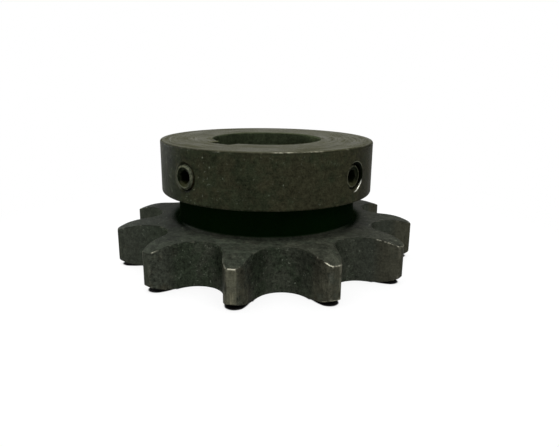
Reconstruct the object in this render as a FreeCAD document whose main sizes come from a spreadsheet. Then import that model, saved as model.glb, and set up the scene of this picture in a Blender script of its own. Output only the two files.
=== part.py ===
"""Roller-chain sprocket with a grooved hub, a keyed bore and two hex-socket set screws.

Millimetres. The plate's outer face lies on z = 0 and the hub rises along +Z, with the bore's axis on
the origin. The keyway, one tooth and the first set screw all point along -Y.
"""
import FreeCAD, Part
import Sketcher
import math
import os

from FreeCAD import Vector

OUT_FOLDER = "parts"

# Driving sizes: name, value, what it measures. Lengths in mm, angles in degrees.
SIZES = (
    ("pitch", 25.4, "chain pitch"),
    ("teeth", 11, "number of teeth"),
    ("roller_diameter", 15.875, "chain roller that the gaps seat"),
    ("plate_thickness", 14.2, "toothed plate, face to face"),
    ("chamfer_reach", 8.9, "radial reach of the curved chamfer on each side of a tooth"),
    ("chamfer_drop", 2.0, "how far that chamfer falls at the tooth tip"),
    ("bore_length", 41.275, "length through the bore, plate face to hub face"),
    ("hub_diameter", 71.4375, "outside of the hub"),
    ("hub_chamfer", 0.6, "broken edge round the hub's two rims"),
    ("neck_diameter", 60.3, "bottom of the groove that clears the chain's link plates"),
    ("groove_width", 10.0, "groove between the plate and the hub"),
    ("groove_corner", 1.2, "slope that the tool leaves in the corners of the groove"),
    ("bore_diameter", 36.5125, "shaft bore"),
    ("bore_chamfer", 0.5, "broken edge at both ends of the bore"),
    ("keyway_width", 9.525, "keyway, side to side"),
    ("keyway_depth", 4.7625, "keyway, measured at its side"),
    ("screw_diameter", 7.9375, "set screw, over its thread"),
    ("screw_length", 12.7, "set screw, end to end"),
    ("screw_chamfer", 0.7, "bevel round the socket end of a set screw"),
    ("screw_spread", 92.5, "angle between the two set screws"),
    ("screw_drop", 0.35, "how far the set screws sit below the middle of the hub"),
    ("screw_clearance", 0.05, "radial room between a set screw and its hole"),
    ("hole_countersink", 0.65, "flare at the mouth of a set-screw hole"),
    ("socket_size", 3.97, "hexagon socket, across its flats"),
    ("socket_depth", 4.2, "hexagon socket, from the end of the screw"),
    ("socket_mouth", 5.9, "flared mouth of the socket, across"),
    ("socket_flare", 1.8, "how deep the cone of that flare would reach on the screw's axis"),
    ("cup_diameter", 4.4, "rim of the cup point"),
    ("cup_depth", 1.0, "hollow inside the cup point"),
    ("keyway_screw_proud", 0.3, "how far the screw over the keyway stands out of the hub"),
    ("side_screw_recess", 0.9, "how far the other screw sits below the hub's surface"),
)

# The standard roller-chain tooth form, for a gap that opens along +Y: the seat arc holds the roller, the
# working arc and a short straight lead off it, and the topping arc runs up to the tip.
TOOTH_FORM = (
    ("pitch_radius", "Float", "Sizes.pitch / (2 * sin(180 / Sizes.teeth))"),
    ("tip_radius", "Float", "Sizes.pitch * (0.6 + 1 / tan(180 / Sizes.teeth)) / 2"),
    ("seat_radius", "Float", "0.5025 * Sizes.roller_diameter + 0.0381"),
    ("seat_angle", "Angle", "35 deg + 60 deg / Sizes.teeth"),
    ("working_angle", "Angle", "18 deg - 56 deg / Sizes.teeth"),
    ("topping_angle", "Angle", "17 deg - 64 deg / Sizes.teeth"),
    ("working_offset", "Float", "0.8 * Sizes.roller_diameter"),
    ("working_radius", "Float", "seat_radius + working_offset"),
    ("topping_offset", "Float", "1.4 * Sizes.roller_diameter"),
    ("topping_radius", "Float", "working_offset * cos(working_angle)"
                                " + topping_offset * cos(topping_angle) - working_radius"),
    ("straight_length", "Float", "topping_offset * sin(topping_angle) - working_offset * sin(working_angle)"),
    ("flank_angle", "Angle", "seat_angle - working_angle"),
    ("seat_x", "Float", "seat_radius * cos(seat_angle)"),
    ("seat_y", "Float", "pitch_radius - seat_radius * sin(seat_angle)"),
    ("working_x", "Float", "working_radius * cos(flank_angle) - working_offset * cos(seat_angle)"),
    ("working_y", "Float", "pitch_radius + working_offset * sin(seat_angle)"
                           " - working_radius * sin(flank_angle)"),
    ("straight_x", "Float", "working_x + straight_length * sin(flank_angle)"),
    ("straight_y", "Float", "working_y + straight_length * cos(flank_angle)"),
    ("topping_x", "Float", "topping_offset * cos(180 / Sizes.teeth)"),
    ("topping_y", "Float", "pitch_radius - topping_offset * sin(180 / Sizes.teeth)"),
    ("topping_reach", "Float", "sqrt(topping_x ^ 2 + topping_y ^ 2)"),
    ("run_out_radius", "Float", "tip_radius + 0.02 * Sizes.pitch"),
    ("run_out_angle", "Angle", "atan2(topping_x; topping_y) - acos((run_out_radius ^ 2"
                               " + topping_reach ^ 2 - topping_radius ^ 2)"
                               " / (2 * run_out_radius * topping_reach))"),
    ("run_out_x", "Float", "run_out_radius * sin(run_out_angle)"),
    ("run_out_y", "Float", "run_out_radius * cos(run_out_angle)"),
    ("cutter_top", "Float", "tip_radius + Sizes.pitch / 2"),
)

# Places that follow from the driving sizes.
PLACES = (
    ("chamfer_radius", "Float", "(Sizes.chamfer_reach ^ 2 + Sizes.chamfer_drop ^ 2)"
                                " / (2 * Sizes.chamfer_drop)"),
    ("hub_underside", "Float", "Sizes.plate_thickness + Sizes.groove_width"),
    ("hub_radius", "Float", "Sizes.hub_diameter / 2"),
    ("neck_radius", "Float", "Sizes.neck_diameter / 2"),
    ("bore_radius", "Float", "Sizes.bore_diameter / 2"),
    ("keyway_floor", "Float", "sqrt(bore_radius ^ 2 - (Sizes.keyway_width / 2) ^ 2) + Sizes.keyway_depth"),
    ("screw_height", "Float", "(hub_underside + Sizes.bore_length) / 2 - Sizes.screw_drop"),
    ("screw_radius", "Float", "Sizes.screw_diameter / 2"),
    ("hole_radius", "Float", "screw_radius + Sizes.screw_clearance"),
    ("mouth_reach", "Float", "hub_radius + Sizes.hole_countersink"),
    ("socket_corner", "Float", "Sizes.socket_size / sqrt(3)"),
    ("point_length", "Float", "screw_radius - Sizes.cup_diameter / 2"),
)


def make_sheet(doc):
    """The spreadsheet of driving sizes, one row each."""
    sheet = doc.addObject("Spreadsheet::Sheet", "Sizes")
    for row, (alias, value, meaning) in enumerate(SIZES, start=1):
        sheet.set(f"A{row}", meaning)
        sheet.set(f"B{row}", str(value))
        sheet.setAlias(f"B{row}", alias)
    doc.recompute()


def make_derived(doc, name, rows):
    """A set of values worked out from the sheet, or from the rows above them."""
    values = doc.addObject("App::VarSet", name)
    for alias, kind, expression in rows:
        values.addProperty(f"App::Property{kind}", alias, name)
        values.setExpression(alias, expression)
    doc.recompute()


def origin_feature(body, role):
    """One of a body's own origin planes or axes."""
    return next(item for item in body.Origin.OriginFeatures if item.Role == role)


class Outline:
    """A closed sketch on a body's origin plane, drawn corner by corner.

    Each corner is a pair of expressions, which place the geometry first and then hold it there.
    """

    def __init__(self, body, plane, name, start):
        self.sketch = body.newObject("Sketcher::SketchObject", name)
        self.sketch.AttachmentSupport = (origin_feature(body, plane), [""])
        self.sketch.MapMode = "FlatFace"
        self.start = start
        self.corner = start
        self.start_end = None
        self.last_end = None

    def number(self, expression):
        """The value of an expression, in this document's units."""
        value = self.sketch.evalExpression(expression)
        return float(getattr(value, "Value", value))

    def point(self, corner):
        """The place of a corner in the sketch's plane."""
        return Vector(self.number(corner[0]), self.number(corner[1]), 0)

    def hold(self, kind, *where, expression):
        """Adds a constraint whose value follows an expression."""
        index = self.sketch.addConstraint(Sketcher.Constraint(kind, *where, self.number(expression)))
        self.sketch.setExpression(f"Constraints[{index}]", expression)

    def join(self, geometry, first_end, second_end, corner):
        """Ties a new edge to the one before it and holds its far corner in place."""
        if self.last_end is None:
            self.start_end = (geometry, first_end)
        else:
            self.sketch.addConstraint(Sketcher.Constraint("Coincident", *self.last_end, geometry, first_end))
        if corner is self.start:
            self.sketch.addConstraint(Sketcher.Constraint("Coincident", geometry, second_end, *self.start_end))
        self.hold("DistanceX", geometry, second_end, expression=corner[0])
        self.hold("DistanceY", geometry, second_end, expression=corner[1])
        self.last_end = (geometry, second_end)
        self.corner = corner

    def line(self, *corner):
        """A straight edge to the next corner."""
        segment = Part.LineSegment(self.point(self.corner), self.point(corner))
        self.join(self.sketch.addGeometry(segment), 1, 2, corner)
        return self

    def arc(self, *corner, radius, clockwise=False):
        """An arc of under half a turn to the next corner."""
        begin = self.point(self.corner)
        end = self.point(corner)
        chord = end - begin
        size = self.number(radius)
        rise = math.sqrt(size ** 2 - chord.Length ** 2 / 4)
        side = -1 if clockwise else 1
        centre = (begin + end) / 2 + Vector(-chord.y, chord.x, 0).normalize() * rise * side
        low, high = (end, begin) if clockwise else (begin, end)
        angles = [math.atan2(point.y - centre.y, point.x - centre.x) for point in (low, high)]
        circle = Part.Circle(centre, Vector(0, 0, 1), size)
        geometry = self.sketch.addGeometry(Part.ArcOfCircle(circle, *angles))
        first_end, second_end = (2, 1) if clockwise else (1, 2)
        self.join(geometry, first_end, second_end, corner)
        self.hold("Radius", geometry, expression=radius)
        return self

    def close(self):
        """The last straight edge, back to the first corner."""
        segment = Part.LineSegment(self.point(self.corner), self.point(self.start))
        self.join(self.sketch.addGeometry(segment), 1, 2, self.start)
        return self.sketch

    def axis(self, begin, end):
        """A construction line that a revolved cut can turn about."""
        segment = Part.LineSegment(self.point(begin), self.point(end))
        geometry = self.sketch.addGeometry(segment, True)
        for position, corner in ((1, begin), (2, end)):
            self.hold("DistanceX", geometry, position, expression=corner[0])
            self.hold("DistanceY", geometry, position, expression=corner[1])
        return self


def revolve(body, name, sketch):
    """A full turn of a half-section about the body's Z axis."""
    solid = body.newObject("PartDesign::Revolution", name)
    solid.Profile = sketch
    solid.ReferenceAxis = (origin_feature(body, "Z_Axis"), [""])
    solid.Angle = 360
    body.Document.recompute()
    return solid


def cut(body, kind, name, profile, **settings):
    """A cut into the body, which must take something away."""
    before = body.Shape.Volume
    feature = body.newObject(f"PartDesign::{kind}", name)
    feature.Profile = profile
    for setting, value in settings.items():
        setattr(feature, setting, value)
    body.Document.recompute()
    if not body.Shape.Volume < before:
        raise RuntimeError(f"{name} took nothing away")
    return feature


def repeat(body, name, feature, count, angle):
    """Copies of a cut round the body's Z axis."""
    before = body.Shape.Volume
    pattern = body.newObject("PartDesign::PolarPattern", name)
    pattern.Originals = [feature]
    pattern.Axis = (origin_feature(body, "Z_Axis"), [""])
    pattern.setExpression("Angle", angle)
    pattern.setExpression("Occurrences", count)
    body.Tip = pattern
    body.Document.recompute()
    if not body.Shape.Volume < before:
        raise RuntimeError(f"{name} took nothing away")


def blank_section(body):
    """Half-section of the turned blank: toothed plate, groove, neck and hub."""
    plate_top = "Sizes.plate_thickness"
    hub_top = "Sizes.bore_length"
    outline = Outline(body, "XZ_Plane", "BlankSection", ("Places.bore_radius + Sizes.bore_chamfer", "0"))
    outline.line("ToothForm.tip_radius - Sizes.chamfer_reach", "0")
    outline.arc("ToothForm.tip_radius", "Sizes.chamfer_drop", radius="Places.chamfer_radius")
    outline.line("ToothForm.tip_radius", f"{plate_top} - Sizes.chamfer_drop")
    outline.arc("ToothForm.tip_radius - Sizes.chamfer_reach", plate_top, radius="Places.chamfer_radius")
    outline.line("Places.neck_radius + Sizes.groove_corner", plate_top)
    outline.line("Places.neck_radius", f"{plate_top} + Sizes.groove_corner")
    outline.line("Places.neck_radius", "Places.hub_underside - Sizes.groove_corner")
    outline.line("Places.neck_radius + Sizes.groove_corner", "Places.hub_underside")
    outline.line("Places.hub_radius - Sizes.hub_chamfer", "Places.hub_underside")
    outline.line("Places.hub_radius", "Places.hub_underside + Sizes.hub_chamfer")
    outline.line("Places.hub_radius", f"{hub_top} - Sizes.hub_chamfer")
    outline.line("Places.hub_radius - Sizes.hub_chamfer", hub_top)
    outline.line("Places.bore_radius + Sizes.bore_chamfer", hub_top)
    outline.line("Places.bore_radius", f"{hub_top} - Sizes.bore_chamfer")
    outline.line("Places.bore_radius", "Sizes.bore_chamfer")
    return outline.close()


def gap_outline(body):
    """One gap between two teeth, opening along +Y past the tips."""
    seat = ("ToothForm.seat_x", "ToothForm.seat_y")
    working = ("ToothForm.working_x", "ToothForm.working_y")
    straight = ("ToothForm.straight_x", "ToothForm.straight_y")
    run_out = ("ToothForm.run_out_x", "ToothForm.run_out_y")
    top = ("ToothForm.run_out_x", "ToothForm.cutter_top")

    def mirrored(corner):
        return (f"-{corner[0]}", corner[1])

    outline = Outline(body, "XY_Plane", "GapOutline", mirrored(seat))
    outline.arc(*seat, radius="ToothForm.seat_radius")
    outline.arc(*working, radius="ToothForm.working_radius")
    outline.line(*straight)
    outline.arc(*run_out, radius="ToothForm.topping_radius", clockwise=True)
    outline.line(*top)
    outline.line(*mirrored(top))
    outline.line(*mirrored(run_out))
    outline.arc(*mirrored(straight), radius="ToothForm.topping_radius", clockwise=True)
    outline.line(*mirrored(working))
    outline.arc(*outline.start, radius="ToothForm.working_radius")
    return outline.sketch


def keyway_outline(body):
    """The keyway's rectangle on the -Y side, open into the bore."""
    outline = Outline(body, "XY_Plane", "KeywayOutline", ("-Sizes.keyway_width / 2", "-Places.keyway_floor"))
    outline.line("Sizes.keyway_width / 2", "-Places.keyway_floor")
    outline.line("Sizes.keyway_width / 2", "0")
    outline.line("-Sizes.keyway_width / 2", "0")
    return outline.close()


def screw_hole_section(body):
    """Half-section of a set-screw hole along -Y, from inside the bore to a flared mouth."""
    axis_z = "Places.screw_height"
    wall_z = f"{axis_z} + Places.hole_radius"
    mouth_z = f"{wall_z} + 2 * Sizes.hole_countersink"
    outline = Outline(body, "YZ_Plane", "ScrewHoleSection", ("0", axis_z))
    outline.line("-Places.mouth_reach", axis_z)
    outline.line("-Places.mouth_reach", mouth_z)
    outline.line("-(Places.hub_radius - Sizes.hole_countersink)", wall_z)
    outline.line("0", wall_z)
    outline.close()
    return outline.axis(("0", axis_z), ("-Places.hub_radius", axis_z)).sketch


def make_sprocket(doc):
    """The sprocket itself: a turned blank with its gaps, keyway and set-screw holes cut in."""
    body = doc.addObject("PartDesign::Body", "sprocket")
    revolve(body, "Blank", blank_section(body))
    gap = cut(body, "Pocket", "ToothGap", gap_outline(body), Reversed=True)
    gap.setExpression("Length", "Sizes.plate_thickness + Sizes.groove_width / 2")
    doc.recompute()
    repeat(body, "ToothGaps", gap, "Sizes.teeth", "360")
    cut(body, "Pocket", "Keyway", keyway_outline(body), Reversed=True, Type="ThroughAll")
    section = screw_hole_section(body)
    hole = cut(body, "Groove", "ScrewHole", section, ReferenceAxis=(section, ["Axis0"]), Angle=360)
    repeat(body, "ScrewHoles", hole, "2", "Sizes.screw_spread")
    return body


def screw_section(body):
    """Half-section of a set screw: socket end at the top, cup point at the bottom."""
    point_z = "-Sizes.screw_length"
    outline = Outline(body, "XZ_Plane", "ScrewSection", ("0", "-Sizes.socket_flare"))
    outline.line("Sizes.socket_mouth / 2", "0")
    outline.line("Places.screw_radius - Sizes.screw_chamfer", "0")
    outline.line("Places.screw_radius", "-Sizes.screw_chamfer")
    outline.line("Places.screw_radius", f"{point_z} + Places.point_length")
    outline.line("Sizes.cup_diameter / 2", point_z)
    outline.line("0", f"{point_z} + Sizes.cup_depth")
    return outline.close()


def socket_outline(body):
    """The hexagon socket, seen from the end of the screw."""
    corners = [
        (f"Places.socket_corner * cos({turn})", f"Places.socket_corner * sin({turn})")
        for turn in range(0, 360, 60)
    ]
    outline = Outline(body, "XY_Plane", "SocketOutline", corners[0])
    for corner in corners[1:]:
        outline.line(*corner)
    return outline.close()


def make_set_screw(doc, label, turn, reach):
    """A cup-point set screw whose end lies at a reach from the bore's axis, along a turn about it."""
    body = doc.addObject("PartDesign::Body", label)
    revolve(body, f"{label}_shank", screw_section(body))
    socket = cut(body, "Pocket", f"{label}_socket", socket_outline(body))
    socket.setExpression("Length", "Sizes.socket_depth")
    place = f"vector({reach} * cos({turn}); {reach} * sin({turn}); Places.screw_height)"
    body.setExpression("Placement", f"placement({place}; rotation({turn}; 90; 0))")
    doc.recompute()
    return body


def check(doc, bodies):
    """Stops unless every object is sound and every body is one closed solid."""
    for item in doc.Objects:
        if "Invalid" in item.State or "Error" in item.State:
            raise RuntimeError(f"{item.Name} failed: {item.State}")
    for body in bodies:
        shape = body.Shape
        if shape.isNull() or not shape.isValid() or len(shape.Solids) != 1:
            raise RuntimeError(f"{body.Label} isn't one sound solid")


def main():
    doc = FreeCAD.newDocument("ChainSprocket")
    make_sheet(doc)
    make_derived(doc, "ToothForm", TOOTH_FORM)
    make_derived(doc, "Places", PLACES)
    bodies = [
        make_sprocket(doc),
        make_set_screw(doc, "keyway_set_screw", "-90", "(Places.hub_radius + Sizes.keyway_screw_proud)"),
        make_set_screw(doc, "side_set_screw", "(Sizes.screw_spread - 90)",
                       "(Places.hub_radius - Sizes.side_screw_recess)"),
    ]
    doc.recompute()
    check(doc, bodies)
    os.makedirs(OUT_FOLDER, exist_ok=True)
    for body in bodies:
        body.Shape.exportStep(os.path.join(OUT_FOLDER, f"{body.Label}.step"))
        box = body.Shape.BoundBox
        print(body.Label, round(body.Shape.Volume), "mm3", [round(v, 2) for v in (
            box.XMin, box.YMin, box.ZMin, box.XMax, box.YMax, box.ZMax)])


main()
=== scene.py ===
# Chain sprocket with a grooved hub and two set screws, dressed for its picture.
# The bore is the Z axis and the plate rests on z = 0. Sizes are written in millimetres.
import math
from cmath import exp as turned

import bmesh
import bpy
from mathutils import Matrix, Vector


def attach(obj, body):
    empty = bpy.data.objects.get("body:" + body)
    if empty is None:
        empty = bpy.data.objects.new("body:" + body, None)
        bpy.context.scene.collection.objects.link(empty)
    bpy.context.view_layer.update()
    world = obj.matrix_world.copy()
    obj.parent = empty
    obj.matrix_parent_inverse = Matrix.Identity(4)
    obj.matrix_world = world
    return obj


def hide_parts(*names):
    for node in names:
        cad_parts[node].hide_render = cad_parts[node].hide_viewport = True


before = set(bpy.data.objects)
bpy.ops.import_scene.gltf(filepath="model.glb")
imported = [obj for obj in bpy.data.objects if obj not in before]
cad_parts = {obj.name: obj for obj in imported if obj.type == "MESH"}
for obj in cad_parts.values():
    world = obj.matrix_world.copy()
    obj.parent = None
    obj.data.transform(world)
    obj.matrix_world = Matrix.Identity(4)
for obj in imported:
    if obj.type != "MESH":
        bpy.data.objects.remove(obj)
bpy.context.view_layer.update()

MM = 0.001

# Chain and tooth form
PITCH = 25.4
TEETH = 11
ROLLER = 15.875
HALF_PITCH_ANGLE = math.pi / TEETH
PITCH_RADIUS = PITCH / (2 * math.sin(HALF_PITCH_ANGLE))
TIP_RADIUS = PITCH * (0.6 + 1 / math.tan(HALF_PITCH_ANGLE)) / 2
SEAT_RADIUS = 0.5025 * ROLLER + 0.0381
SEAT_ANGLE = math.radians(35 + 60 / TEETH)
WORKING_ANGLE = math.radians(18 - 56 / TEETH)
TOPPING_ANGLE = math.radians(17 - 64 / TEETH)
FLANK_ANGLE = SEAT_ANGLE - WORKING_ANGLE
WORKING_OFFSET = 0.8 * ROLLER
WORKING_RADIUS = SEAT_RADIUS + WORKING_OFFSET
TOPPING_OFFSET = 1.4 * ROLLER
TOPPING_RADIUS = (
    WORKING_OFFSET * math.cos(WORKING_ANGLE) + TOPPING_OFFSET * math.cos(TOPPING_ANGLE) - WORKING_RADIUS
)
STRAIGHT = TOPPING_OFFSET * math.sin(TOPPING_ANGLE) - WORKING_OFFSET * math.sin(WORKING_ANGLE)

# Turned blank
PLATE = 14.2
CHAMFER_REACH = 8.9
CHAMFER_DROP = 2.0
CHAMFER_RADIUS = (CHAMFER_REACH ** 2 + CHAMFER_DROP ** 2) / (2 * CHAMFER_DROP)
GROOVE_WIDTH = 10.0
GROOVE_CORNER = 1.2
HUB_FACE = 41.275
HUB_UNDERSIDE = PLATE + GROOVE_WIDTH
HUB_RADIUS = 71.4375 / 2
HUB_EDGE = 0.72
NECK_RADIUS = 60.3 / 2
BORE_RADIUS = 36.5125 / 2
BORE_EDGE = 0.5
BASE_CIRCLE = 33.0

# Small broken edges that only a picture needs
TOOTH_EDGE = 0.32
TIP_CORNER = 0.85
EDGE_SUPPORT = 0.18

# Into how many steps a mesh divides a rounding, a tooth's face, its edge and a turn of thread
ROUNDING_STEPS = 6
FACE_STEPS = 16
EDGE_STEPS = 4
HOLE_THREAD_STEPS = 8
SCREW_THREAD_STEPS = 10

# Keyway, screw holes and set screws
KEYWAY_WIDTH = 9.525
KEYWAY_FLOOR = math.sqrt(BORE_RADIUS ** 2 - (KEYWAY_WIDTH / 2) ** 2) + 4.7625
KEYWAY_FLARE = 0.3
SCREW_HEIGHT = (HUB_UNDERSIDE + HUB_FACE) / 2 - 0.35
SCREW_SPREAD = math.radians(92.5)
SCREW_RADIUS = 7.9375 / 2
SCREW_LENGTH = 12.7
SCREW_BEVEL = 0.7
THREAD_PITCH = 25.4 / 18
THREAD_DEPTH = 0.55
THREAD_FLAT = 0.125
HOLE_RADIUS = SCREW_RADIUS + 0.05
HOLE_THREAD = 0.35
HOLE_THREAD_FADE = 0.8
HOLE_CUT_START = 9.0
KEYWAY_CUT_START = 8.0
COUNTERSINK = 0.65
SOCKET_SIZE = 3.97
SOCKET_DEPTH = 4.2
SOCKET_MOUTH = 2.95
SOCKET_FLARE = 0.61
RING_EDGE = 0.06
RING_RISE = 0.02
CUP_RADIUS = 2.2
CUP_DEPTH = 1.0
KEYWAY_SCREW_REACH = HUB_RADIUS + 0.3
SIDE_SCREW_REACH = HUB_RADIUS - 0.9
SHARP_ANGLE = math.radians(32)

# Two points of neighbouring teeth closer than this, in metres, become one
WELD = 0.00001

# The camera's side, and what is bright there: a painted highlight on part of the hub's rim, one rubbed
# tooth with a painted glint on its tip's edge, and painted glints on two spots of other teeth's edges,
# each with its x, y and reach
HEADING = math.radians(43.385)
RIM_HIGHLIGHT_HEADING = HEADING + 0.26
RUBBED_TOOTH = 2 * HALF_PITCH_ANGLE - math.pi / 2
GLINT_SPOTS = ((44.8, -23.9, 2.4), (46.4, 3.2, 3.0))

# The sockets of a Mix node that mixes colours
MIX_SHARE = 0
MIX_FIRST = 6
MIX_SECOND = 7
MIX_RESULT = 2


class Wire:
    """The output of a node. Arithmetic on it adds Math nodes to its tree."""

    def __init__(self, bench, socket):
        self.bench = bench
        self.socket = socket

    def __add__(self, other):
        return self.bench.math("ADD", self, other)

    def __radd__(self, other):
        return self.bench.math("ADD", other, self)

    def __sub__(self, other):
        return self.bench.math("SUBTRACT", self, other)

    def __rsub__(self, other):
        return self.bench.math("SUBTRACT", other, self)

    def __mul__(self, other):
        return self.bench.math("MULTIPLY", self, other)

    def __rmul__(self, other):
        return self.bench.math("MULTIPLY", other, self)

    def __truediv__(self, other):
        return self.bench.math("DIVIDE", self, other)


class Bench:
    """Adds nodes to one tree and wires them up."""

    def __init__(self, tree):
        self.tree = tree
        tree.nodes.clear()

    def node(self, kind, settings=None, values=None, output=0):
        """One node: its settings first, then the values or wires of its sockets. Gives one output."""
        made = self.tree.nodes.new(kind)
        for name, value in (settings or {}).items():
            setattr(made, name, value)
        for key, value in (values or {}).items():
            if isinstance(value, Wire):
                self.tree.links.new(value.socket, made.inputs[key])
            else:
                made.inputs[key].default_value = value
        return Wire(self, made.outputs[output]) if made.outputs else made

    def other(self, wire, name):
        """Another output of the node that a wire comes from."""
        return Wire(self, wire.socket.node.outputs[name])

    def math(self, operation, *values):
        return self.node("ShaderNodeMath", {"operation": operation}, dict(enumerate(values)))

    def clamp(self, value):
        return self.node("ShaderNodeClamp", None, {0: value})

    def step(self, value, low, high):
        """0 below low and 1 above high, smooth between them."""
        return self.node(
            "ShaderNodeMapRange", {"interpolation_type": "SMOOTHSTEP"}, {0: value, 1: low, 2: high}
        )

    def between(self, value, low, high, soft):
        """1 from low to high, fading out over the soft distance beyond each."""
        return self.step(value, low - soft, low) * (1 - self.step(value, high, high + soft))

    def vector(self, x, y, z):
        return self.node("ShaderNodeCombineXYZ", None, {0: x, 1: y, 2: z})

    def scaled(self, vector, amount):
        return self.node("ShaderNodeVectorMath", {"operation": "SCALE"}, {0: vector, "Scale": amount})

    def moved(self, vector, offset):
        return self.node("ShaderNodeVectorMath", {"operation": "ADD"}, {0: vector, 1: offset})

    def noise(self, place, scale, detail, roughness):
        values = {"Vector": place, "Scale": scale, "Detail": detail, "Roughness": roughness}
        return self.node("ShaderNodeTexNoise", None, values)

    def blend(self, share, first, second):
        """A mix of two colours."""
        values = {MIX_SHARE: share, MIX_FIRST: first, MIX_SECOND: second}
        return self.node("ShaderNodeMix", {"data_type": "RGBA"}, values, MIX_RESULT)

    def tinted(self, colour, amount):
        """A colour made lighter or darker by an amount, which is 1 where it stays as it is."""
        grey = self.vector(amount, amount, amount)
        settings = {"data_type": "RGBA", "blend_type": "MULTIPLY"}
        values = {MIX_SHARE: 1.0, MIX_FIRST: colour, MIX_SECOND: grey}
        return self.node("ShaderNodeMix", settings, values, MIX_RESULT)


def tone(red, green, blue):
    """A colour from the eight-bit values that a screen shows."""
    def linear(value):
        value = value / 255
        return value / 12.92 if value < 0.04045 else ((value + 0.055) / 1.055) ** 2.4

    return linear(red), linear(green), linear(blue), 1.0


# Colours of the oxide, as pairs that it varies between, of the steel that shows through it, and of painted
# light and shade
SIDE_OXIDE = (tone(36, 40, 28), tone(42, 42, 30))
PLATE_OXIDE = (tone(43, 47, 39), tone(48, 50, 42))
GAP_OXIDE = (tone(42, 48, 38), tone(48, 51, 43))
TIP_OXIDE = (tone(49, 52, 45), tone(54, 54, 45))
HUB_FACE_STEEL = tone(61, 61, 47)
BORE_STEEL = tone(56, 63, 46)
FAR_GAP_STEEL = tone(48, 51, 45)
LAND_STEEL = tone(80, 80, 67)
LOW_RUB_STEEL = tone(116, 112, 92)
RUB_AND_HIGHLIGHT_STEEL = tone(164, 162, 145)
PALE_SPECK = tone(120, 126, 112)
NECK_SHADOW_COLOURS = (tone(6, 26, 5), tone(8, 22, 9))
FOOT_SHADE = tone(5, 20, 6)
UNDERSIDE_SHADE = tone(10, 12, 9)

# Colours of light and shade painted at the flared edges of the screw holes
HOLE_SHADE = tone(8, 12, 6)
HOLE_SHEEN = tone(80, 82, 72)
HOLE_CREVICE_SHADOW = tone(3, 7, 2)
HOLE_LIP_HIGHLIGHT = tone(120, 122, 108)
HOLE_GLINT = tone(216, 216, 204)

# Colours of the set screws
SCREW_DARK = (tone(22, 24, 14), tone(40, 36, 22))
SCREW_RING = (tone(52, 56, 45), tone(72, 76, 62))
SOCKET_LIT_AND_SHADED = (tone(38, 40, 22), tone(4, 9, 2))
SCREW_RUBBED = tone(140, 136, 116)

# The gloss that the steel has beside its own colour: its level and its tint
GLOSS_LEVEL = 0.05
GLOSS_TINT = (0.28, 0.28, 0.22, 1.0)

# The ground: white light, the paper and the painted shadow under the teeth
WHITE = (1.0, 1.0, 1.0, 1.0)
PAPER = (0.85, 0.85, 0.85, 1.0)
PAPER_IN_SHADOW = (0.03, 0.03, 0.03, 1.0)

# How much further from a screw hole a place counts that isn't on the hole's side of the hub
OUT_OF_REACH = 100


# Meshes

def make_mesh(name, points, faces, wear=None):
    """A mesh from points in millimetres, with the wear of each point where it is given."""
    mesh = bpy.data.meshes.new(name)
    mesh.from_pydata([Vector(point) * MM for point in points], [], faces)
    if wear:
        mesh.attributes.new("wear", "FLOAT", "POINT").data.foreach_set("value", wear)
    mesh.validate()
    return mesh


def make_object(name, mesh):
    made = bpy.data.objects.new(name, mesh)
    bpy.context.scene.collection.objects.link(made)
    return made


def drop(radius):
    """How far the curved chamfer lies below a face of the plate, at a radius."""
    inward = max(0.0, radius - TIP_RADIUS + CHAMFER_REACH)
    return CHAMFER_RADIUS - math.sqrt(CHAMFER_RADIUS ** 2 - inward ** 2)


def arc(centre, radius, start, end, steps, side=1):
    """Points and outward normals along an arc. Side is 1 round a hollow and -1 round a bulge."""
    places = []
    for step in range(steps + 1):
        direction = turned(1j * (start + (end - start) * step / steps))
        places.append((centre + radius * direction, -side * direction, 0.0))
    return places


def flank():
    """Half a gap, from its middle to the middle of the next tooth, with the gap opening along +Y."""
    seat = arc(PITCH_RADIUS * 1j, SEAT_RADIUS, -math.pi / 2, -SEAT_ANGLE, steps=8)
    centre = complex(
        -WORKING_OFFSET * math.cos(SEAT_ANGLE),
        PITCH_RADIUS + WORKING_OFFSET * math.sin(SEAT_ANGLE),
    )
    working = arc(centre, WORKING_RADIUS, -SEAT_ANGLE, -FLANK_ANGLE, steps=4)
    foot, normal_of_foot = working[-1][:2]
    head = foot + STRAIGHT * complex(math.sin(FLANK_ANGLE), math.cos(FLANK_ANGLE))
    centre = complex(
        TOPPING_OFFSET * math.cos(HALF_PITCH_ANGLE),
        PITCH_RADIUS - TOPPING_OFFSET * math.sin(HALF_PITCH_ANGLE),
    )
    reach = abs(centre)
    lean = math.acos((TIP_RADIUS ** 2 + reach ** 2 - TOPPING_RADIUS ** 2) / (2 * TIP_RADIUS * reach))
    corner_angle = math.atan2(centre.real, centre.imag) - lean
    corner = TIP_RADIUS * turned(1j * (math.pi / 2 - corner_angle))
    start = math.atan2((head - centre).imag, (head - centre).real)
    end = math.atan2((corner - centre).imag, (corner - centre).real)
    end = end + TIP_CORNER / TOPPING_RADIUS
    topping = arc(centre, TOPPING_RADIUS, start, end, steps=6, side=-1)
    land_start = math.pi / 2 - corner_angle - TIP_CORNER / TIP_RADIUS
    land = arc(0, TIP_RADIUS, land_start, math.pi / 2 - HALF_PITCH_ANGLE, steps=4, side=-1)
    before, after = topping[-1], land[0]
    rounded = []
    for share in (0.2, 0.4, 0.6, 0.8):
        place = (1 - share) ** 2 * before[0] + 2 * share * (1 - share) * corner + share ** 2 * after[0]
        normal = (1 - share) * before[1] + share * after[1]
        rounded.append((place, normal / abs(normal), 1.6 * share * (1 - share)))
    return seat + working[1:] + [(head, normal_of_foot, 0.0)] + topping[1:] + rounded + land


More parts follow.
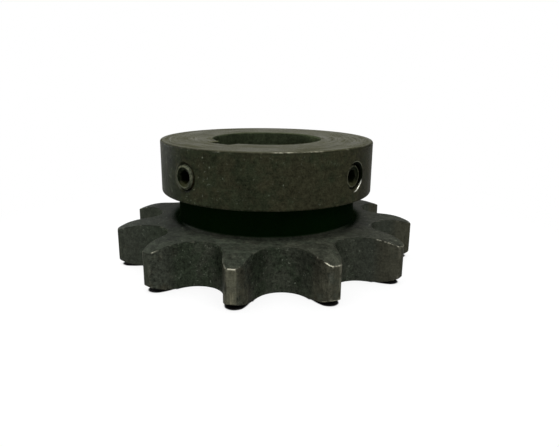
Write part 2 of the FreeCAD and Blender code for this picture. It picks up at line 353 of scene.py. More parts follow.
def tooth_outline():
    """One tooth pointing along -Y, from the middle of a gap to the middle of the next."""
    half = flank()
    first = turned(-1j * (math.pi + HALF_PITCH_ANGLE))
    second = turned(1j * (HALF_PITCH_ANGLE - math.pi))
    rising = [
        (-place.conjugate() * first, -normal.conjugate() * first, worn)
        for place, normal, worn in half
    ]
    falling = [(place * second, normal * second, worn) for place, normal, worn in reversed(half)]
    return rising + falling[1:]


def softened(corners):
    """A half-section with its corners rounded: pairs of radius and height, each with its wear.

    A corner is radius, height, how far its rounding reaches and how worn it gets.
    """
    rows = []
    for index, (radius, height, reach, worn) in enumerate(corners):
        here = complex(radius, height)
        if not reach:
            rows.append((radius, height, 0.0))
            continue
        before = complex(*corners[index - 1][:2]) - here
        after = complex(*corners[index + 1][:2]) - here
        before, after = before / abs(before), after / abs(after)
        start, end = here + before * reach, here + after * reach
        support = min(EDGE_SUPPORT, reach)
        rows.append(((start + before * support).real, (start + before * support).imag, 0.0))
        for step in range(ROUNDING_STEPS + 1):
            share = step / ROUNDING_STEPS
            place = (1 - share) ** 2 * start + 2 * share * (1 - share) * here + share ** 2 * end
            rows.append((place.real, place.imag, 4 * share * (1 - share) * worn))
        rows.append(((end + after * support).real, (end + after * support).imag, 0.0))
    return rows


def spread(start, end, steps):
    """Radii or heights from start to end, both left out."""
    return [start + (end - start) * (step / steps) for step in range(1, steps)]


def hub_rows():
    """The blank's section above the plate: from the base circle over the hub to the bore's foot."""
    corners = [
        (BASE_CIRCLE, PLATE, 0, 0),
        (NECK_RADIUS, PLATE, GROOVE_CORNER, 0),
        (NECK_RADIUS, (PLATE + HUB_UNDERSIDE) / 2, 0, 0),
        (NECK_RADIUS, HUB_UNDERSIDE, GROOVE_CORNER, 0),
        ((NECK_RADIUS + HUB_RADIUS) / 2, HUB_UNDERSIDE, 0, 0),
        (HUB_RADIUS, HUB_UNDERSIDE, HUB_EDGE, 0.4),
    ]
    low, high = HUB_UNDERSIDE + 0.5, HUB_FACE - 0.5
    corners += [(HUB_RADIUS, height, 0, 0) for height in spread(low, high, steps=8)]
    corners.append((HUB_RADIUS, HUB_FACE, HUB_EDGE, 1))
    corners += [(radius, HUB_FACE, 0, 0) for radius in spread(HUB_RADIUS, BORE_RADIUS, steps=8)]
    corners.append((BORE_RADIUS, HUB_FACE, BORE_EDGE, 0.4))
    corners += [(BORE_RADIUS, height, 0, 0) for height in spread(HUB_FACE, 0, steps=8)]
    corners.append((BORE_RADIUS, 0, BORE_EDGE, 0.4))
    corners += [(radius, 0, 0, 0) for radius in spread(BORE_RADIUS, BASE_CIRCLE, steps=4)]
    return softened(corners + [(BASE_CIRCLE, 0, 0, 0)])


def plate_rows(place, normal, worn):
    """One column of the toothed plate, from the base circle on its outer face up to its middle height."""
    inner = BASE_CIRCLE * place / abs(place)
    inset = place - normal * TOOTH_EDGE
    length = abs(inset - inner)
    rows = []
    shares = [step / FACE_STEPS for step in range(FACE_STEPS)] + [1 - EDGE_SUPPORT / length]
    for share in shares:
        here = inner + (inset - inner) * share
        rows.append((here, drop(abs(here)), 0.0))
    edge = drop(abs(place))
    for step in range(EDGE_STEPS + 1):
        share = step / EDGE_STEPS
        here = place + (inset - place) * (1 - share) ** 2
        low = drop(abs(inset))
        height = (1 - share) ** 2 * low + 2 * share * (1 - share) * edge
        height = height + share ** 2 * (edge + TOOTH_EDGE)
        rows.append((here, height, max(4 * share * (1 - share), share * worn)))
    foot = edge + TOOTH_EDGE
    rows.append((place, foot + EDGE_SUPPORT, worn))
    rows += [(place, height, worn) for height in spread(foot + EDGE_SUPPORT, PLATE / 2, steps=3)]
    return rows + [(place, PLATE / 2, worn)]


def tooth_sector():
    """The whole sprocket's section over one tooth: a closed grid of faces."""
    rings = hub_rows()
    points, wear = [], []
    columns = tooth_outline()
    for place, normal, corner in columns:
        lower = plate_rows(place, normal, corner)
        upper = [(here, PLATE - height, worn) for here, height, worn in reversed(lower[:-1])]
        direction = place / abs(place)
        inner = [(radius * direction, height, worn) for radius, height, worn in rings[1:-1]]
        column = lower + upper + inner
        points += [(here.real, here.imag, height) for here, height, worn in column]
        wear += [worn for here, height, worn in column]
    rows = len(points) // len(columns)
    faces = []
    for column in range(len(columns) - 1):
        for row in range(rows):
            above = (row + 1) % rows
            near, far = column * rows, (column + 1) * rows
            faces.append((near + row, near + above, far + above, far + row))
    return make_mesh("tooth_sector", points, faces, wear)


def revolved(name, sections, turns):
    """A closed skin round the X axis. Sections are rows of places from one end's middle to the other's.

    Each row is a function of the angle that gives radius and distance along X.
    """
    points = [(sections[0](0)[1], 0, 0)]
    for row in sections[1:-1]:
        for turn in range(turns):
            angle = 2 * math.pi * turn / turns
            radius, along = row(angle)
            points.append((along, radius * math.cos(angle), radius * math.sin(angle)))
    points.append((sections[-1](0)[1], 0, 0))
    last = len(points) - 1
    faces = []
    for turn in range(turns):
        beside = (turn + 1) % turns
        faces.append((0, 1 + turn, 1 + beside))
        for row in range(len(sections) - 3):
            near, far = 1 + row * turns, 1 + (row + 1) * turns
            faces.append((near + turn, far + turn, far + beside, near + beside))
        faces.append((last - turns + turn, last, last - turns + beside))
    mesh = make_mesh(name, points, faces)
    work = bmesh.new()
    work.from_mesh(mesh)
    bmesh.ops.recalc_face_normals(work, faces=work.faces)
    work.to_mesh(mesh)
    work.free()
    return mesh


def thread(along, angle, depth):
    """How far a screw thread is cut away at a place: 0 on its crest and depth at its root."""
    phase = (along / THREAD_PITCH - angle / (2 * math.pi)) % 1
    slope = (1 + 2 * THREAD_FLAT) * (1 - abs(2 * phase - 1)) - THREAD_FLAT
    return depth * min(1.0, max(0.0, slope))


def fixed(radius, along):
    """A round row of a skin."""
    return lambda angle: (radius, along)


def screw_hole_cutter():
    """What a set-screw hole takes out of the hub, along +X from inside the bore."""
    start, end = HOLE_CUT_START, HUB_RADIUS + 2.0
    flare = HUB_RADIUS - COUNTERSINK
    steps = int((flare - start) / THREAD_PITCH * HOLE_THREAD_STEPS)

    def threaded(along):
        def row(angle):
            groove = HOLE_THREAD - thread(along, angle, HOLE_THREAD)
            return HOLE_RADIUS + groove * min(1.0, (flare - along) / HOLE_THREAD_FADE), along
        return row

    rows = [fixed(0, start)]
    rows += [threaded(start + (flare - start) * step / steps) for step in range(steps + 1)]
    rows += [fixed(HOLE_RADIUS + end - flare, end), fixed(0, end)]
    return make_object("screw_hole_cutter", revolved("screw_hole_cutter", rows, turns=40))


def keyway_cutter():
    """What the keyway takes out, flared a little at both faces."""
    half = KEYWAY_WIDTH / 2
    levels = ((-1, 1 + KEYWAY_FLARE), (KEYWAY_FLARE, 0), (HUB_FACE - KEYWAY_FLARE, 0))
    levels += ((HUB_FACE + 1, 1 + KEYWAY_FLARE),)
    points = []
    for height, grown in levels:
        side, floor = half + grown, KEYWAY_FLOOR + grown
        points += [(-side, -floor, height), (side, -floor, height)]
        points += [(side, -KEYWAY_CUT_START, height), (-side, -KEYWAY_CUT_START, height)]
    faces = [(3, 2, 1, 0), (12, 13, 14, 15)]
    for level in range(3):
        for corner in range(4):
            low, beside = level * 4 + corner, level * 4 + (corner + 1) % 4
            faces.append((low, beside, beside + 4, low + 4))
    return make_object("keyway_cutter", make_mesh("keyway_cutter", points, faces))


def set_screw_mesh():
    """A set screw along +X with its socket end at the origin: socket, bevel, thread and cup point."""
    apothem = SOCKET_SIZE / 2

    def hexagon(angle):
        off = (angle + math.pi / 6) % (math.pi / 3) - math.pi / 6
        return apothem / math.cos(off)

    def wall(depth):
        return lambda angle: (hexagon(angle), -depth)

    def mouth(angle):
        return hexagon(angle), -(SOCKET_MOUTH - hexagon(angle)) * SOCKET_FLARE

    def threaded(along):
        def row(angle):
            radius = SCREW_RADIUS - thread(along, angle, THREAD_DEPTH)
            bevel = SCREW_RADIUS - SCREW_BEVEL - along
            point = CUP_RADIUS + 0.1 + SCREW_LENGTH + along
            return min(radius, bevel, point), along
        return row

    face = SCREW_RADIUS - SCREW_BEVEL
    rows = [fixed(0, -SOCKET_DEPTH - 0.9), fixed(apothem * 0.9, -SOCKET_DEPTH - 0.1)]
    rows += [wall(SOCKET_DEPTH), wall(SOCKET_DEPTH * 0.6), wall(1.0), mouth]
    rows += [fixed(SOCKET_MOUTH, 0.0), fixed(SOCKET_MOUTH + RING_EDGE, RING_RISE)]
    rows += [fixed(face - RING_EDGE, RING_RISE)]
    steps = int(SCREW_LENGTH / THREAD_PITCH * SCREW_THREAD_STEPS)
    rows += [threaded(-SCREW_LENGTH * step / steps) for step in range(steps + 1)]
    rows += [fixed(CUP_RADIUS - 0.1, -SCREW_LENGTH), fixed(1.0, CUP_DEPTH * 0.55 - SCREW_LENGTH)]
    rows += [fixed(0, CUP_DEPTH - SCREW_LENGTH)]
    return revolved("set_screw", rows, turns=48)


# Geometry Nodes

def new_tree(name, inputs):
    """A tree of geometry nodes with named inputs, its bench, and the wire of each input."""
    tree = bpy.data.node_groups.new(name, "GeometryNodeTree")
    tree.interface.new_socket(name="Geometry", in_out="INPUT", socket_type="NodeSocketGeometry")
    for label, kind in inputs.items():
        tree.interface.new_socket(name=label, in_out="INPUT", socket_type=kind)
    tree.interface.new_socket(name="Geometry", in_out="OUTPUT", socket_type="NodeSocketGeometry")
    bench = Bench(tree)
    entry = tree.nodes.new("NodeGroupInput")
    wires = {label: Wire(bench, entry.outputs[label]) for label in ["Geometry", *inputs]}
    return tree, bench, wires


def finish_tree(bench, geometry, finish):
    """Shades smooth up to sharp edges, makes instances real and sets the finish."""
    smooth = bench.node(
        "GeometryNodeSetShadeSmooth",
        {"domain": "FACE"},
        {"Geometry": geometry, "Shade Smooth": True},
    )
    angle = bench.node("GeometryNodeInputMeshEdgeAngle")
    sharp = bench.node(
        "FunctionNodeCompare",
        {"data_type": "FLOAT", "operation": "GREATER_THAN"},
        {0: angle, 1: SHARP_ANGLE},
    )
    creased = bench.node(
        "GeometryNodeSetShadeSmooth",
        {"domain": "EDGE"},
        {"Geometry": smooth, "Selection": sharp, "Shade Smooth": False},
    )
    real = bench.node("GeometryNodeRealizeInstances", None, {"Geometry": creased})
    painted = bench.node("GeometryNodeSetMaterial", None, {"Geometry": real, "Material": finish})
    bench.node("NodeGroupOutput", None, {"Geometry": painted})


def shape_of(bench, other):
    """The shape of another object."""
    settings = {"transform_space": "ORIGINAL"}
    return bench.node("GeometryNodeObjectInfo", settings, {0: other}, output="Geometry")


def cut_away(bench, solid, cutter):
    """A solid without what a cutter takes out of it."""
    settings = {"operation": "DIFFERENCE", "solver": "EXACT"}
    return bench.node("GeometryNodeMeshBoolean", settings, {0: solid, 1: cutter})


def ring_of_teeth():
    """Repeats one tooth's sector round the axis, then cuts the keyway and the screw holes."""
    tree, bench, wires = new_tree("ring_of_teeth", {
        "Teeth": "NodeSocketInt",
        "Keyway Cutter": "NodeSocketObject",
        "Hole Cutter": "NodeSocketObject",
        "Holes": "NodeSocketInt",
        "Hole Spread": "NodeSocketFloat",
        "Hole Height": "NodeSocketFloat",
        "Weld": "NodeSocketFloat",
        "Finish": "NodeSocketMaterial",
    })
    index = bench.node("GeometryNodeInputIndex")
    origins = bench.node("GeometryNodePoints", None, {"Count": wires["Teeth"]})
    turn = bench.vector(0.0, 0.0, index * (2 * math.pi) / wires["Teeth"])
    ring = bench.node(
        "GeometryNodeInstanceOnPoints",
        None,
        {"Points": origins, "Instance": wires["Geometry"], "Rotation": turn},
    )
    joined = bench.node("GeometryNodeRealizeInstances", None, {"Geometry": ring})
    welded = bench.node(
        "GeometryNodeMergeByDistance", None, {"Geometry": joined, "Distance": wires["Weld"]}
    )
    keyway = shape_of(bench, wires["Keyway Cutter"])
    hole = shape_of(bench, wires["Hole Cutter"])
    places = bench.node(
        "GeometryNodePoints",
        None,
        {"Count": wires["Holes"], "Position": bench.vector(0.0, 0.0, wires["Hole Height"])},
    )
    heading = bench.vector(0.0, 0.0, index * wires["Hole Spread"] - math.pi / 2)
    holes = bench.node(
        "GeometryNodeInstanceOnPoints", None, {"Points": places, "Instance": hole, "Rotation": heading}
    )
    real_holes = bench.node("GeometryNodeRealizeInstances", None, {"Geometry": holes})
    keyed = cut_away(bench, welded, keyway)
    drilled = cut_away(bench, keyed, real_holes)
    finish_tree(bench, drilled, wires["Finish"])
    return tree


def seated_screw():
    """Puts a screw, made along +X, in its hole."""
    tree, bench, wires = new_tree("seated_screw", {
        "Reach": "NodeSocketFloat",
        "Height": "NodeSocketFloat",
        "Heading": "NodeSocketFloat",
        "Spin": "NodeSocketFloat",
        "Finish": "NodeSocketMaterial",
    })
    seated = bench.node("GeometryNodeTransform", None, {
        "Geometry": wires["Geometry"],
        "Translation": bench.vector(wires["Reach"], 0.0, wires["Height"]),
        "Rotation": bench.vector(wires["Spin"], 0.0, 0.0),
    })
    turned_out = bench.node("GeometryNodeTransform", None, {
        "Geometry": seated,
        "Rotation": bench.vector(0.0, 0.0, wires["Heading"]),
    })
    finish_tree(bench, turned_out, wires["Finish"])
    return tree


def built(name, mesh, tree, values):
    """The plain mesh object that a tree makes of a mesh."""
    made = make_object(name, mesh)
    modifier = made.modifiers.new("build", "NODES")
    modifier.node_group = tree
    for item in tree.interface.items_tree:
        if item.in_out == "INPUT" and item.name in values:
            modifier[item.identifier] = values[item.name]
    bpy.context.view_layer.update()
    result = bpy.data.meshes.new_from_object(made.evaluated_get(bpy.context.evaluated_depsgraph_get()))
    made.modifiers.remove(modifier)
    made.data = result
    result.name = name
    return made


def note_surface(mesh):
    """Writes how upright each face is, for marks that run up walls and round faces."""
    upright = [math.hypot(face.normal.x, face.normal.y) for face in mesh.polygons]
    mesh.attributes.new("upright", "FLOAT", "FACE").data.foreach_set("value", upright)


def note_edges(mesh, low, high):
    """Writes how worn each point is, from the outward bend of the edges at it, in degrees."""
    work = bmesh.new()
    work.from_mesh(mesh)
    work.verts.ensure_lookup_table()
    worn = []
    for vert in work.verts:
        bend = max(math.degrees(edge.calc_face_angle_signed(0)) for edge in vert.link_edges)
        worn.append(min(1.0, max(0.0, (bend - low) / (high - low))))
    work.free()
    mesh.attributes.new("wear", "FLOAT", "POINT").data.foreach_set("value", worn)


def note_end(mesh, reach, heading, lightness):
    """Writes how light each face of a screw's end ring is, and which faces lie in its socket.

    The ring is lightest along one diagonal.
    """
    outward = Vector((math.cos(heading), math.sin(heading), 0))
    rightward = Vector((-math.sin(heading), math.cos(heading), 0))
    middle = outward * reach * MM + Vector((0, 0, SCREW_HEIGHT * MM))
    rim, socket = [], []
    for face in mesh.polygons:
        away = face.center - middle
        along = away.dot(outward)
        across = (away - outward * along).length
        diagonal = abs(away.dot(rightward) + away.z) / across if across else 0.0
        ring = across > (SOCKET_MOUTH - 0.05) * MM and along > -1.2 * SCREW_BEVEL * MM
        rim.append(lightness * (0.7 + 0.25 * diagonal) if ring else 0.0)
        socket.append(float(across < SOCKET_MOUTH * MM and along > -(SOCKET_DEPTH + 1) * MM))
    mesh.attributes.new("rim", "FLOAT", "FACE").data.foreach_set("value", rim)
    mesh.attributes.new("socket", "FLOAT", "FACE").data.foreach_set("value", socket)


# Materials

def new_material(name):
    material = bpy.data.materials.new(name)
    material.use_nodes = True
    return material, Bench(material.node_tree)


def object_place(bench):
    """Object coordinates in millimetres, as a vector and one by one."""
    metres = bench.node("ShaderNodeTexCoord", output="Object")
    place = bench.scaled(metres, 1 / MM)
    x = bench.node("ShaderNodeSeparateXYZ", None, {0: place})
    return place, (x, bench.other(x, "Y"), bench.other(x, "Z"))


def attribute(bench, name):
    return bench.node("ShaderNodeAttribute", {"attribute_name": name}, output="Fac")


def steel_shader(bench, colour, roughness, metallic, normal):
    shader = bench.node("ShaderNodeBsdfPrincipled", None, {
        "Base Color": colour,
        "Roughness": roughness,
        "Metallic": metallic,
        "Normal": normal,
        "Specular IOR Level": GLOSS_LEVEL,
        "Specular Tint": GLOSS_TINT,
    })
    bench.node("ShaderNodeOutputMaterial", None, {"Surface": shader})


def speckles(bench, place, scale, size, share):
    """Small round spots in some of the cells of a Voronoi pattern."""
    bent = bench.node("ShaderNodeTexNoise", None, {"Vector": place, "Scale": 1.7, "Detail": 1.0})
    place = bench.moved(place, bench.scaled(bench.other(bent, "Color"), 1.6))
    far = bench.node("ShaderNodeTexVoronoi", {"feature": "F1"}, {"Vector": place, "Scale": scale})
    chance = bench.node("ShaderNodeSeparateColor", None, {0: bench.other(far, "Color")})
    chosen = bench.math("GREATER_THAN", chance, 1 - share)
    return (1 - bench.step(far, size * 0.4, size)) * chosen


def round_hole(bench, x, y, z, heading):
    """How far a place on the hub lies from a screw hole's middle, and how far across and up.

    Places that aren't on that side of the hub are put out of reach.
    """
    across = y * math.cos(heading) - x * math.sin(heading)
    up = z - SCREW_HEIGHT
    out = bench.step(x * math.cos(heading) + y * math.sin(heading), 30.0, 32.0)
    return bench.math("SQRT", across * across + up * up) + (1 - out) * OUT_OF_REACH, across, up


def hole_edges(bench, x, y, z, colour):
    """Adds the screw holes' flared edges, dull and dark with painted shade.

    The one over the keyway has a painted sheen at its left, the other a painted shadow in its crevice,
    a pale arc of painted highlight on its lip and a bright streak of painted glint.
    """
    far, across, up = round_hole(bench, x, y, z, -math.pi / 2)
    flare = bench.between(far, 4.0, 4.6, 0.1)
    # painted shade on the keyway hole's flare, and a painted sheen at its left
    colour = bench.blend(flare * bench.step(across - up * 0.5, -1.5, 3.5) * 0.85, colour, HOLE_SHADE)
    colour = bench.blend(flare * bench.step(-1 * across, 1.5, 3.5) * 0.5, colour, HOLE_SHEEN)
    far, across, up = round_hole(bench, x, y, z, SCREW_SPREAD - math.pi / 2)
    # painted shadow in the crevice between the side screw and its hole
    crevice_shadow = bench.between(far, 3.98, 4.58, 0.05) * bench.step(across * 0.9 + up * 0.6, 0.0, 1.8)
    colour = bench.blend(crevice_shadow * 0.95, colour, HOLE_CREVICE_SHADOW)
    # painted highlight along the side hole's lip, and a painted glint below it
    lip_highlight = bench.between(far, 4.62, 4.76, 0.06)
    colour = bench.blend(lip_highlight * bench.step(up + across * 0.4, 3.4, 4.6) * 0.5, colour, HOLE_LIP_HIGHLIGHT)
    streak = bench.between(far + bench.step(across, -1.0, 3.2) * 0.35, 4.6, 4.76, 0.06)
    glint = streak * bench.step(across * 0.7 - up, 4.0, 5.0)
    glint = glint * (0.5 + 0.5 * bench.between(across, 2.0, 2.6, 0.4))
    return bench.blend(glint, colour, HOLE_GLINT)


def black_oxide():
    """Machined steel under a thin dark oxide, rubbed bright along its edges, with light and shade painted
    into its colour.
    """
    material, bench = new_material("black_oxide_steel")
    place, (x, y, z) = object_place(bench)
    radius = bench.math("SQRT", x * x + y * y)
    around = bench.math("ARCTAN2", y, x)
    upright = bench.step(attribute(bench, "upright"), 0.4, 0.8)
    wear = attribute(bench, "wear")

    # where each surface is
    above_plate = bench.step(z, PLATE + 0.02, PLATE + 0.1)
    plate_face = (1 - above_plate) * (1 - upright)
    wall = (1 - above_plate) * bench.step(radius, 36.4, 36.8) * upright
    tipward = bench.step(radius, 42.5, 46.5)
    land = wall * bench.step(radius, TIP_RADIUS - 0.25, TIP_RADIUS - 0.05)
    outward = x * math.cos(RUBBED_TOOTH) + y * math.sin(RUBBED_TOOTH)
    sideways = y * math.cos(RUBBED_TOOTH) - x * math.sin(RUBBED_TOOTH)
    rubbed_tooth = bench.between(sideways, -5.0, 5.0, 1.0) * bench.step(outward, 46.0, 48.0)
    off_bore = bench.step(radius, 24.0, 26.0)
    # painted shade in the groove under the hub
    groove = bench.step(z, PLATE + 0.45, PLATE + 1.2)
    groove = groove * (1 - bench.step(z, HUB_UNDERSIDE - 0.05, HUB_UNDERSIDE + 0.1))
    groove = groove * off_bore * (1 - bench.step(radius, 33.0, 35.2))
    ahead = (x * math.sin(HEADING) - y * math.cos(HEADING)) / radius
    aside = 1 - bench.step(ahead, 0.35, 0.85)
    low = bench.between(z, PLATE - 0.1, PLATE + 1.0, 0.3) * off_bore
    foot = low * above_plate
    behind = 1 - bench.step(ahead, -0.5, 0.4)
    # painted shade on the plate round the neck, deeper at the sides and behind
    shade_start = NECK_RADIUS - 0.6 + aside * 1.2 + behind * 1.6
    shaded = 1 - bench.step(radius, shade_start, shade_start + 1.6 + aside * 0.6 + behind * 2.6)
    shaded = shaded * low * (0.05 + aside * 0.95)
    # painted shade on the chamfers' undersides
    under = (1 - bench.step(z, 0.2, 2.4)) * (1 - upright)
    in_bore = 1 - bench.step(radius, BORE_RADIUS + 0.15, BORE_RADIUS + 0.4)
    hub_face = bench.step(z, HUB_FACE - 0.35, HUB_FACE - 0.15)

    # clouds, mottling and grain in the oxide
    clouds = bench.noise(place, 0.13, 3.0, 0.55) - 0.5
    patches = bench.noise(bench.moved(place, (9.0, 4.0, 2.0)), 0.4, 3.0, 0.6) - 0.5
    mottle = bench.noise(place, 0.85, 4.0, 0.8) - 0.5
    grain = bench.noise(place, 2.0, 3.0, 0.8) - 0.5
    flat_mottle = bench.noise(bench.moved(place, (2.0, 7.0, 4.0)), 0.42, 4.0, 0.8) - 0.5
    hue = bench.noise(bench.moved(place, (31.0, 17.0, 5.0)), 0.18, 4.0, 0.7) + sideways * 0.0035

    # tool marks: circles on the faces, rings on the turned sides, lines along the gaps' walls
    # and streaks up the tips
    lay = radius + (z - radius) * upright
    rings = bench.noise(bench.vector(lay * 3.6, around * 2.5, 0.0), 1.0, 3.0, 0.65) - 0.5
    broad_rings = bench.noise(bench.vector(lay * 0.7, around * 1.6, 3.0), 1.0, 3.0, 0.6) - 0.5
    streaks = bench.noise(bench.vector(x * 2.2, y * 2.2, z * 0.14), 1.0, 3.0, 0.7) - 0.5
    marks = rings + (streaks - rings) * wall * tipward

    # colours
    side = bench.blend(bench.step(hue, 0.38, 0.6), *SIDE_OXIDE)
    plate = bench.blend(bench.step(hue, 0.4, 0.62), *PLATE_OXIDE)
    gap = bench.blend(bench.step(hue, 0.42, 0.6), *GAP_OXIDE)
    tip = bench.blend(bench.step(hue, 0.4, 0.6), *TIP_OXIDE)
    far_side = bench.step(bench.math("ABSOLUTE", sideways), 24.0, 40.0)
    gap = bench.blend(far_side * 0.7, gap, FAR_GAP_STEEL)
    wall_colour = bench.blend(tipward, gap, tip)
    wall_colour = bench.blend(land * rubbed_tooth * 0.8, wall_colour, LAND_STEEL)
    low_rub = wall * rubbed_tooth * (1 - bench.step(z, 4.0, 6.5)) * bench.step(streaks, -0.08, 0.16)
    low_rub = low_rub * (1 - bench.step(sideways, 0.8, 2.4))
    wall_colour = bench.blend(low_rub * 0.4, wall_colour, LOW_RUB_STEEL)
    side = bench.blend(low, side, plate)
    # painted shade on the plate at its sides, behind and to the left, and painted light on its front near
    # the hub
    leftward = bench.step(-1 * sideways, 5.0, 25.0)
    front_light = bench.step(ahead, 0.5, 0.95) * (1 - bench.step(radius, 33.5, 38.5))
    plate = bench.tinted(plate, 1 - aside * 0.24 - behind * 0.3 - leftward * 0.14 + front_light * 0.75)
    colour = bench.blend(above_plate, plate, side)
    colour = bench.blend(wall, colour, wall_colour)
    colour = bench.blend(hub_face, colour, HUB_FACE_STEEL)
    colour = bench.blend(in_bore * 0.8, colour, BORE_STEEL)
    liveliness = 1 - hub_face * 0.5
    shade = clouds * 0.6 + patches * 0.9 + mottle * (1.9 + wall * 1.2) + grain * 2.1 + broad_rings * 0.4
    shade = shade + flat_mottle * plate_face * 3.0
    shade = shade * liveliness + marks * (0.5 + 0.5 * wall * tipward)
    shade = shade + (broad_rings * 0.6 + flat_mottle * 0.4) * hub_face
    shade = shade * (1 - land * 0.4) * (1 - far_side * wall * 0.4)
    colour = bench.tinted(colour, bench.math("MAXIMUM", 1 + shade, 0.25))

    # pale specks, thicker in the patches
    large_spots = speckles(bench, place, scale=0.7, size=0.22, share=0.16)
    small_spots = speckles(bench, place, scale=1.5, size=0.4, share=0.2)
    spots = large_spots * 1.2 + small_spots * 0.7
    rightward = bench.step(sideways, -12.0, 8.0)
    crowd = bench.step(patches + (wall + 0.4 - rightward * 0.4) * 0.08, 0.03, 0.14)
    crowd = crowd * (1 - above_plate * rightward * 0.6) * (1 - wall * far_side * 0.6)
    spots = spots * (0.06 + crowd) * (1 - hub_face) * (1 - in_bore)
    spots = bench.clamp(spots * (1 - wall * tipward * 0.8))
    colour = bench.blend(spots * 0.65, colour, PALE_SPECK)

    # rubbed edges, most on the tips, with a painted highlight on the nearer part of the hub's rim and
    # painted glints on teeth's edges
    rub_noise = bench.noise(bench.moved(place, (3.0, 8.0, 1.0)), 0.35, 3.0, 0.6) + grain * 0.35
    tip_edge = bench.step(radius, 48.0, 50.0)
    brightened = bench.step(rub_noise, 0.52 - tip_edge * 0.1, 0.75 - tip_edge * 0.1) * (0.2 + 0.6 * tipward)
    # painted highlight on the hub's rim, on the side towards the camera
    rim_facing = (x * math.sin(RIM_HIGHLIGHT_HEADING) - y * math.cos(RIM_HIGHLIGHT_HEADING)) / radius
    rim_highlight = hub_face * bench.step(rim_facing, 0.955, 0.998)
    rim_highlight = rim_highlight * bench.step(rub_noise + grain * 0.5, 0.38, 0.66)
    plate_edge = bench.step(z, PLATE - 3.2, PLATE - 2.2)
    upright_edge = wall * bench.between(z, 2.9, PLATE - 2.9, 0.4)
    kept_edge = bench.between(sideways, -6.0, -2.0, 1.0) + bench.between(sideways, 28.5, 31.5, 1.0) * 0.4
    wear = wear * (1 - upright_edge * (1 - kept_edge) * 0.75)
    # painted glints on the rubbed tooth's top edge and on the listed spots
    tip_glint = rubbed_tooth * bench.between(sideways, -0.8, 1.0, 0.5) * plate_edge
    tip_glint = tip_glint + rubbed_tooth * bench.step(-1 * sideways, 2.2, 3.0) * plate_edge * 0.15
    for spot_x, spot_y, reach in GLINT_SPOTS:
        off_x, off_y = x - spot_x, y - spot_y
        near = 1 - bench.step(off_x * off_x + off_y * off_y, reach, reach * reach)
        tip_glint = tip_glint + plate_edge * near * bench.step(rub_noise + grain * 0.8, 0.42, 0.62) * 0.7
    # real rubbed wear together with the painted rim highlight and glints, as one share
    brightened = bench.clamp(wear * (brightened * (1 - rubbed_tooth * 0.6) + rim_highlight * 0.5 + tip_glint * 0.9))
    colour = bench.blend(brightened, colour, RUB_AND_HIGHLIGHT_STEEL)
    # rounded edges that aren't rubbed are painted darker: painted shade against the lamps' highlight on
    # them
    colour = bench.tinted(colour, 1 - wear * (1 - brightened) * 0.35)

    colour = hole_edges(bench, x, y, z, colour)
    # painted shade in the groove, on the plate round the neck and under the chamfers
    colour = bench.blend(groove * 0.97, colour, bench.blend(aside, *NECK_SHADOW_COLOURS))
    colour = bench.blend(shaded * 0.95, colour, FOOT_SHADE)
    colour = bench.blend(under * 0.35, colour, UNDERSIDE_SHADE)
    dull = bench.clamp(plate_face + foot)
    # more metallic where the shade is painted, so that it reflects little
    metallic = 0.6 - dull * (1 - shaded) * 0.55 + (groove + shaded) * 0.4 + brightened * 0.2
    metallic = metallic + (broad_rings * 2.4 + rings * 1.1) * hub_face
    roughness = 0.47 + clouds * 0.3 + grain * 0.3 - hub_face * 0.05
    roughness = roughness + wear * (1 - brightened) * 0.2 - brightened * 0.14
    roughness = roughness + dull * 0.22 + groove * 0.45
    height = marks * 0.6 + grain * 1.1 + mottle * 0.8 - spots * 0.3
    height = height + broad_rings * hub_face * 1.5 + flat_mottle * plate_face * 2.0
    normal = bench.node("ShaderNodeBump", None, {"Strength": 0.4, "Distance": 0.00015, "Height": height})
    steel_shader(bench, colour, bench.clamp(roughness), bench.clamp(metallic), normal)
    return material


def screw_steel():
    """Set-screw steel: dark heat-treated, with bronze-grey rubbed ends and thread crests, and painted
    light and shade in its socket.
    """
    material, bench = new_material("set_screw_steel")
    place, (_, _, z) = object_place(bench)
    wear = attribute(bench, "wear")
    rim = attribute(bench, "rim")
    socket = attribute(bench, "socket")
    clouds = bench.noise(place, 0.9, 3.0, 0.6)
    grain = bench.noise(place, 4.0, 3.0, 0.7)
    dark = bench.blend(bench.step(clouds, 0.35, 0.65), *SCREW_DARK)
    ring = bench.blend(bench.step(clouds, 0.35, 0.65), *SCREW_RING)
    # painted light on the socket's lowest walls, painted shade higher up in it
    upper = bench.step(z, SCREW_HEIGHT - 2.6, SCREW_HEIGHT - 1.0)
    inner = bench.blend(upper, *SOCKET_LIT_AND_SHADED)
    colour = bench.blend(rim, dark, ring)
    colour = bench.blend(socket, colour, inner)
    brightened = bench.clamp(wear * bench.step(clouds + grain * 0.3, 0.5, 0.8))
    colour = bench.blend(brightened * (0.35 - socket * 0.3), colour, SCREW_RUBBED)
    colour = bench.tinted(colour, 0.4 + grain * 1.2)
    normal = bench.node("ShaderNodeBump", None, {"Strength": 0.3, "Distance": 0.0001, "Height": grain})
    roughness = bench.clamp(0.4 + clouds * 0.2 + socket * 0.3)
    steel_shader(bench, colour, roughness, 0.6 - socket * 0.5, normal)
    return material


# The object's pieces

oxide_steel = black_oxide()
set_steel = screw_steel()
key_cutter = keyway_cutter()
hole_cutter = screw_hole_cutter()

sprocket = built("sprocket_body", tooth_sector(), ring_of_teeth(), {
    "Teeth": TEETH,
    "Keyway Cutter": key_cutter,
    "Hole Cutter": hole_cutter,
    "Holes": 2,
    "Hole Spread": SCREW_SPREAD,
    "Hole Height": SCREW_HEIGHT * MM,
    "Weld": WELD,
    "Finish": oxide_steel,
})
for cutter in (key_cutter, hole_cutter):
    bpy.data.objects.remove(cutter)
note_surface(sprocket.data)

